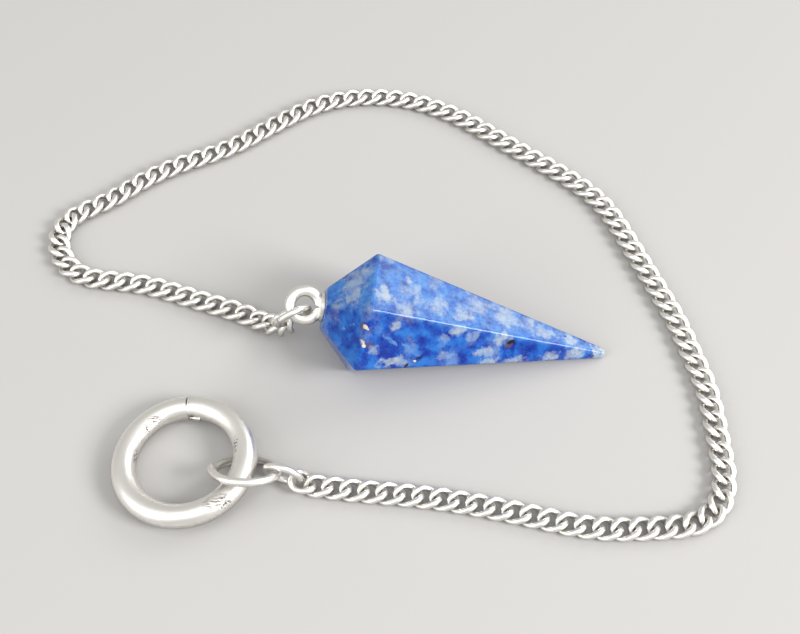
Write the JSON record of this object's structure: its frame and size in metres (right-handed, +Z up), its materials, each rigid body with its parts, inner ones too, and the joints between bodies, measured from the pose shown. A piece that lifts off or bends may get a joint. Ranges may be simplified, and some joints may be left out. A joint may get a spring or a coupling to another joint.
{
  "type": "pendulum pendant",
  "caption": "Faceted lapis lazuli point on a silver curb chain that ends in a thick round ring to hold it by, laid down on a flat surface.",
  "frame": {"origin": "middle of the long facet that the stone rests on, on the surface", "axes": "+X along the resting facet from the table to the tip, +Z up, +Y across, away from the picture's viewer"},
  "size_m": [0.0917, 0.0748, 0.0146],
  "materials": {
    "lapis": "polished opaque blue stone with pale grey clouds and gold specks",
    "silver": "worn polished silver"
  },
  "bodies": {
    "root": {"stone": "lapis", "stone_eye": "silver", "stone_jump_ring": "silver", "chain_stone_half": "silver", "chain_ring_half": "silver", "ring_jump_ring": "silver", "large_jump_ring": "silver", "finger_ring": "silver"}
  },
  "joints": []
}
